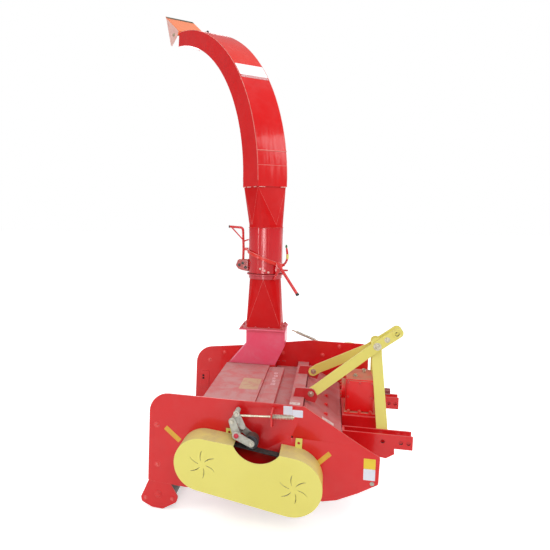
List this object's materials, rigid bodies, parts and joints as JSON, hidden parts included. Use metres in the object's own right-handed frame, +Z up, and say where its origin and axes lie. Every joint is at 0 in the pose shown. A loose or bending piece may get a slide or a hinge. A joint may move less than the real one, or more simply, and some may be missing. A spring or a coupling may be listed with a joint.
{
  "type": "mounted flail forage harvester",
  "caption": "Three-point mounted forage harvester: flail rotor and cross auger between side plates, ground roller, belt drives, and a swivelling gooseneck discharge chute.",
  "frame": {"origin": "on the ground, under the middle of the whole outline", "axes": "+X towards the tractor, +Y to the left of the machine, +Z up"},
  "size_m": [1.8834, 2.0772, 3.3765],
  "materials": {
    "red_paint": "gloss",
    "dusty_red_paint": "dusty",
    "yellow_paint": "satin",
    "plated_steel": "satin",
    "grey_casting": "rough",
    "belt_rubber": "matt",
    "black_paint": "satin",
    "worn_steel": "worn"
  },
  "bodies": {
    "frame": {"side_plate_right": "red_paint", "side_plate_left": "red_paint", "rear_cover": "dusty_red_paint", "channel_beam_rear": "dusty_red_paint", "channel_beam_front": "dusty_red_paint", "deck_sheet": "dusty_red_paint", "front_hood": "dusty_red_paint", "auger_trough": "red_paint", "blower_housing": "red_paint", "outlet_duct": "red_paint", "lower_chute": "red_paint", "swivel_collar": "dusty_red_paint", "front_tube": "red_paint", "hitch_arm_right": "red_paint", "hitch_arm_left": "red_paint", "mast_bar_right": "yellow_paint", "mast_bar_left": "yellow_paint", "mast_strut_right": "yellow_paint", "mast_strut_left": "yellow_paint", "mast_bolt": "plated_steel", "top_link_bolt": "plated_steel", "gearbox": "red_paint", "gearbox_base": "red_paint", "belt_guard_right": "yellow_paint", "belt_guard_left": "yellow_paint", "drive_belt_right": "belt_rubber", "drive_belt_left": "belt_rubber", "tensioner_arm_right": "grey_casting", "tensioner_arm_left": "grey_casting", "tension_rod_right": "plated_steel", "tension_rod_left": "plated_steel", "roller_bracket_right": "red_paint", "roller_bracket_left": "red_paint"},
    "chute": {"chute_sleeve": "red_paint", "chute_transition": "red_paint", "neck_lower": "red_paint", "neck_middle": "red_paint", "neck_upper": "red_paint", "turning_frame": "red_paint", "turning_lever": "red_paint"},
    "deflector": {"deflector_flap": "red_paint"},
    "roller": {"ground_roller": "black_paint"},
    "rotor": {"flail_rotor": "worn_steel", "rotor_pulley_right": "grey_casting", "rotor_pulley_left": "grey_casting"},
    "auger": {"auger_screw": "worn_steel", "blower_wheel": "worn_steel", "auger_pulley": "grey_casting"},
    "cross_drive": {"cross_shaft": "grey_casting"},
    "input": {"input_shaft": "plated_steel"},
    "idler_right": {"idler_pulley_right": "black_paint"},
    "idler_left": {"idler_pulley_left": "black_paint"},
    "stand": {"parking_stand": "red_paint"}
  },
  "joints": [
    {"name": "roller_spin", "type": "hinge", "parent": "frame", "child": "roller", "pos_m": [-0.45334, -0.37363, 0.09], "axis": [0, 1, 0], "continuous": true},
    {"name": "rotor_spin", "type": "hinge", "parent": "frame", "child": "rotor", "pos_m": [0.32866, -0.37363, 0.313], "axis": [0, 1, 0], "continuous": true},
    {"name": "auger_spin", "type": "hinge", "parent": "frame", "child": "auger", "pos_m": [-0.15434, -0.37363, 0.381], "axis": [0, 1, 0], "continuous": true},
    {"name": "cross_drive_spin", "type": "hinge", "parent": "frame", "child": "cross_drive", "pos_m": [0.63166, -0.37363, 0.642], "axis": [0, 1, 0], "continuous": true},
    {"name": "input_spin", "type": "hinge", "parent": "frame", "child": "input", "pos_m": [0.80166, -0.37363, 0.642], "axis": [1, 0, 0], "continuous": true},
    {"name": "idler_right_spin", "type": "hinge", "parent": "frame", "child": "idler_right", "pos_m": [0.09966, -0.37363, 0.505], "axis": [0, 1, 0], "continuous": true},
    {"name": "idler_left_spin", "type": "hinge", "parent": "frame", "child": "idler_left", "pos_m": [0.35866, -0.37363, 0.567], "axis": [0, 1, 0], "continuous": true},
    {"name": "chute_swivel", "type": "hinge", "parent": "frame", "child": "chute", "pos_m": [0.04266, 0.01137, 1.305], "axis": [0, 0, 1], "range_deg": [-135, 135]},
    {"name": "deflector_tilt", "type": "hinge", "parent": "chute", "child": "deflector", "pos_m": [-0.68011, 0.77301, 3.196], "axis": [-0.7254, -0.6884, 0], "range_deg": [0, 90]},
    {"name": "stand_fold", "type": "hinge", "parent": "frame", "child": "stand", "pos_m": [0.61166, -0.37363, 0.263], "axis": [1, 0, 0], "range_deg": [0, 90]}
  ],
  "couplings": [
    {"joint": "auger_spin", "follows": "rotor_spin", "ratio": 0.963},
    {"joint": "cross_drive_spin", "follows": "rotor_spin", "ratio": 0.8333},
    {"joint": "input_spin", "follows": "rotor_spin", "ratio": 0.4318},
    {"joint": "idler_right_spin", "follows": "rotor_spin", "ratio": -3.0263},
    {"joint": "idler_left_spin", "follows": "rotor_spin", "ratio": -2.6579}
  ]
}
